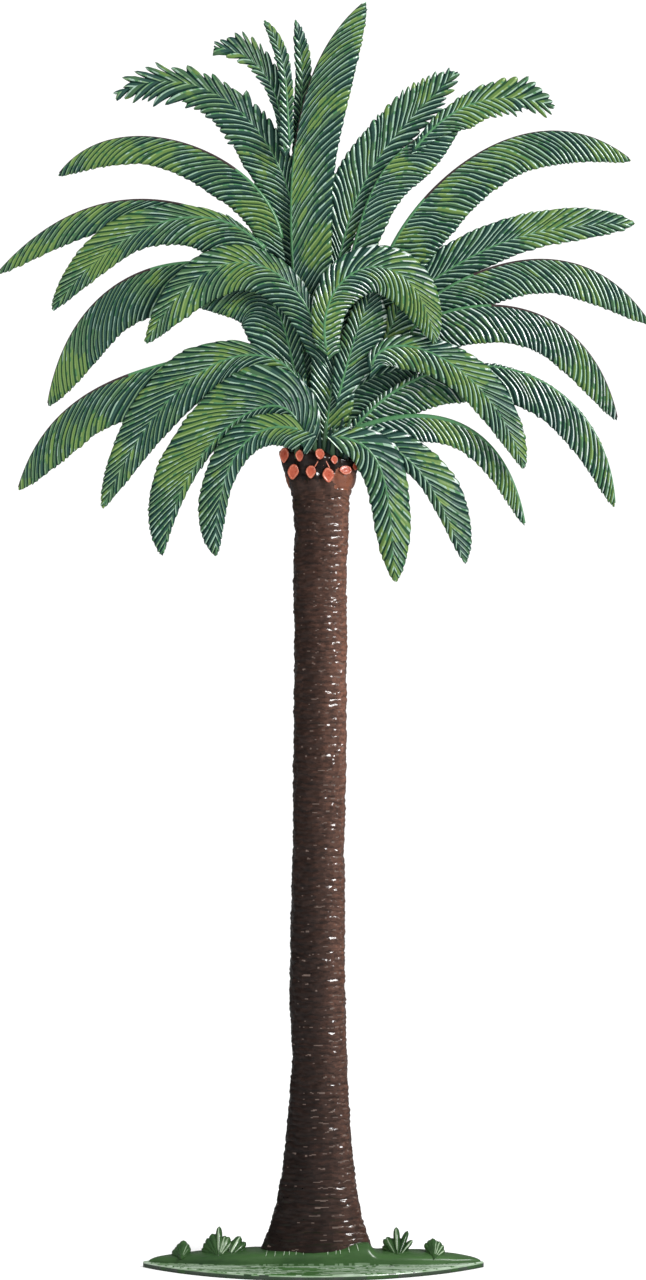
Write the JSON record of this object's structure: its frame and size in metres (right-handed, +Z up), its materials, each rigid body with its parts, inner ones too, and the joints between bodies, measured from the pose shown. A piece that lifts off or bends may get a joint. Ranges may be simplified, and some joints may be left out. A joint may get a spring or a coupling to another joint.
{
  "type": "flat cast metal palm tree figure",
  "caption": "Flat cast metal figure of a date palm with engraved painted fronds, an oval trunk with a collar of cut frond bases, and a thin pointed-oval foot that it stands on",
  "frame": {"origin": "centre of the trunk's foot, on the underside of the foot plate, where it stands", "axes": "+Z up along the trunk, +X to the right of the front face, -Y towards the front"},
  "size_m": [0.0816, 0.02, 0.1584],
  "materials": {
    "frond_green": "gloss paint over an engraved casting, lighter on the raised leaflets",
    "bark_brown": "gloss paint over a ringed casting",
    "stub_orange": "gloss paint, orange-red on the cut ends and dark brown between them",
    "ground_green": "gloss paint"
  },
  "bodies": {
    "root": {"base_plate": "ground_green", "ground_strip": "ground_green", "trunk": "bark_brown", "stub_collar": "stub_orange", "tuft_left_outer": "ground_green", "tuft_left_inner": "ground_green", "tuft_right_inner": "ground_green", "tuft_right_outer": "ground_green", "back_left_upper": "frond_green", "back_right_upper": "frond_green", "crest_curl": "frond_green", "crest_mid": "frond_green", "left_ragged": "frond_green", "right_high_back": "frond_green", "right_two_sided": "frond_green", "right_stub": "frond_green", "left_low_long": "frond_green", "crest_left": "frond_green", "crest_spear": "frond_green", "left_high": "frond_green", "right_ragged": "frond_green", "right_ragged_end": "frond_green", "right_high": "frond_green", "right_long": "frond_green", "left_broad": "frond_green", "right_low_root": "frond_green", "right_low_long": "frond_green", "centre_upright": "frond_green", "left_mid_long": "frond_green", "right_mid_long": "frond_green", "left_inner": "frond_green", "right_arch": "frond_green", "right_inner_small": "frond_green", "left_mid": "frond_green", "right_inner": "frond_green", "left_low": "frond_green", "right_low_outer": "frond_green", "right_front": "frond_green", "left_front": "frond_green", "right_centre": "frond_green", "right_low_inner": "frond_green", "left_low_outer": "frond_green", "left_low_inner": "frond_green"}
  },
  "joints": []
}
